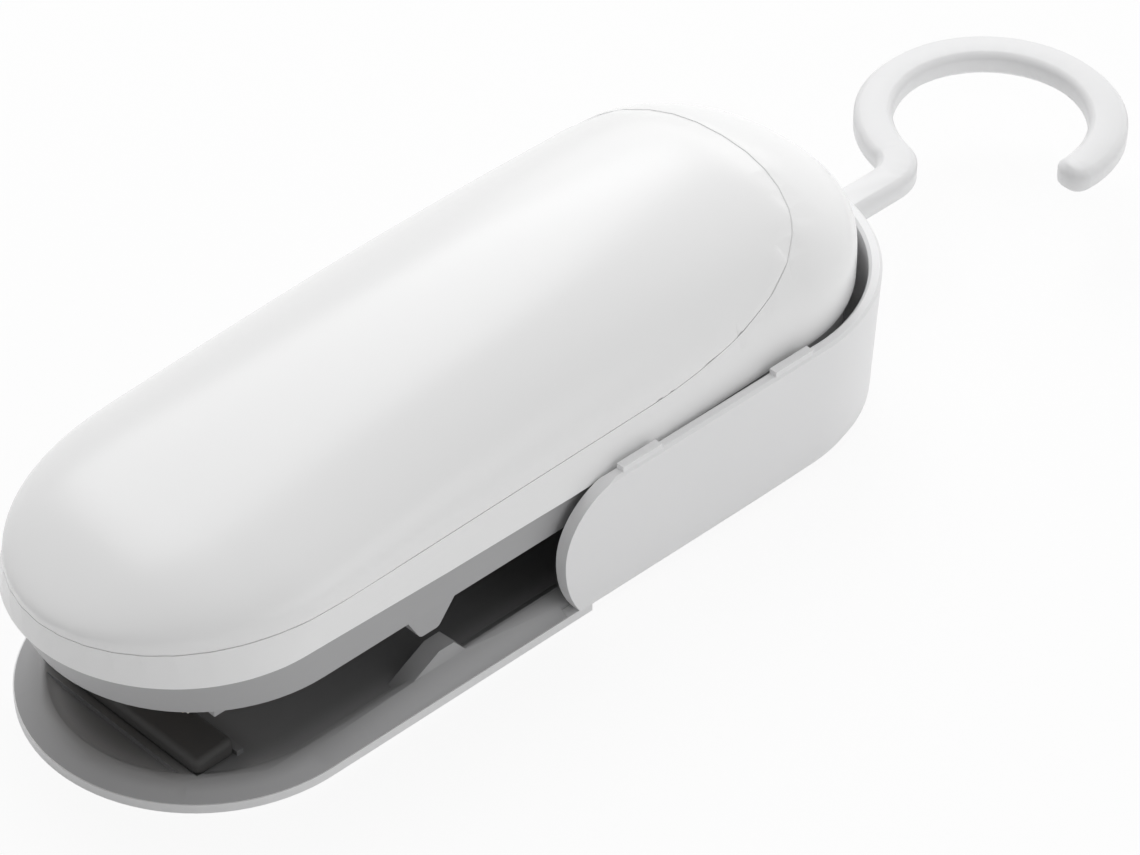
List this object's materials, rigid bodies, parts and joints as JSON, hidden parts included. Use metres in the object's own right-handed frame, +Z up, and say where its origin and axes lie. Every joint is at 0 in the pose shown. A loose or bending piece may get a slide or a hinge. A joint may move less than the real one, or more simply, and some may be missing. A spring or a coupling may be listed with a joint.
{
  "type": "hand-held bag sealer",
  "caption": "Palm-sized battery heat sealer for bags: a white capsule hinged on a base, a grey mouth that presses a bag against a pad, and a swivelling hanging hook.",
  "frame": {"origin": "middle of the flat sole", "axes": "+X towards the hook, -X towards the mouth, +Y to the left when looking along +X, +Z up from the sole"},
  "size_m": [0.1413, 0.0388, 0.0304],
  "materials": {
    "white_shell": "satin moulded plastic",
    "white_gloss": "polished moulded plastic",
    "grey_plastic": "satin moulded plastic",
    "dark_rubber": "soft dark silicone",
    "steel": "bright drawn steel",
    "plated_steel": "nickel-plated spring steel",
    "cell_can": "printed metal can, left plain",
    "cream_plastic": "heat-proof moulding",
    "brown_tape": "coated glass cloth",
    "dark_plastic": "moulded plastic",
    "red_lead": "wire insulation",
    "black_lead": "wire insulation"
  },
  "bodies": {
    "base": {"base_shell": "white_shell", "lower_tray": "grey_plastic", "silicone_pad": "dark_rubber", "hinge_pin": "steel", "return_spring": "steel"},
    "hook": {"hook": "white_shell"},
    "upper": {"upper_frame": "grey_plastic", "housing": "white_gloss", "housing_screws": "steel", "cell_left": "cell_can", "cell_right": "cell_can", "positive_contact": "plated_steel", "negative_contact": "plated_steel", "bridge_contact": "plated_steel", "contact_springs": "plated_steel", "heater_block": "cream_plastic", "heating_strip": "steel", "cover_tape": "brown_tape", "switch_body": "dark_plastic", "lead_positive": "red_lead", "lead_switch": "black_lead", "lead_negative": "black_lead"},
    "lid": {"top_lid": "white_gloss"},
    "plunger": {"switch_plunger": "white_shell"}
  },
  "joints": [
    {"name": "jaw_press", "type": "hinge", "parent": "base", "child": "upper", "pos_m": [0.04, 0, 0.007], "axis": [0, -1, 0], "range_deg": [0, 4], "stiffness_Nm_per_rad": 5.2, "springref_deg": -4.58, "deforming": ["return_spring"]},
    {"name": "hook_swivel", "type": "hinge", "parent": "base", "child": "hook", "pos_m": [0.05, 0, 0.0105], "axis": [1, 0, 0], "continuous": true},
    {"name": "lid_lift", "type": "slide", "parent": "upper", "child": "lid", "axis": [0, 0, 1], "range_m": [0, 0.02]},
    {"name": "switch_press", "type": "slide", "parent": "upper", "child": "plunger", "axis": [0, 0, 1], "range_m": [0, 0.0015]}
  ],
  "couplings": [
    {"joint": "switch_press", "follows": "jaw_press", "m_per_rad": 0.02}
  ]
}
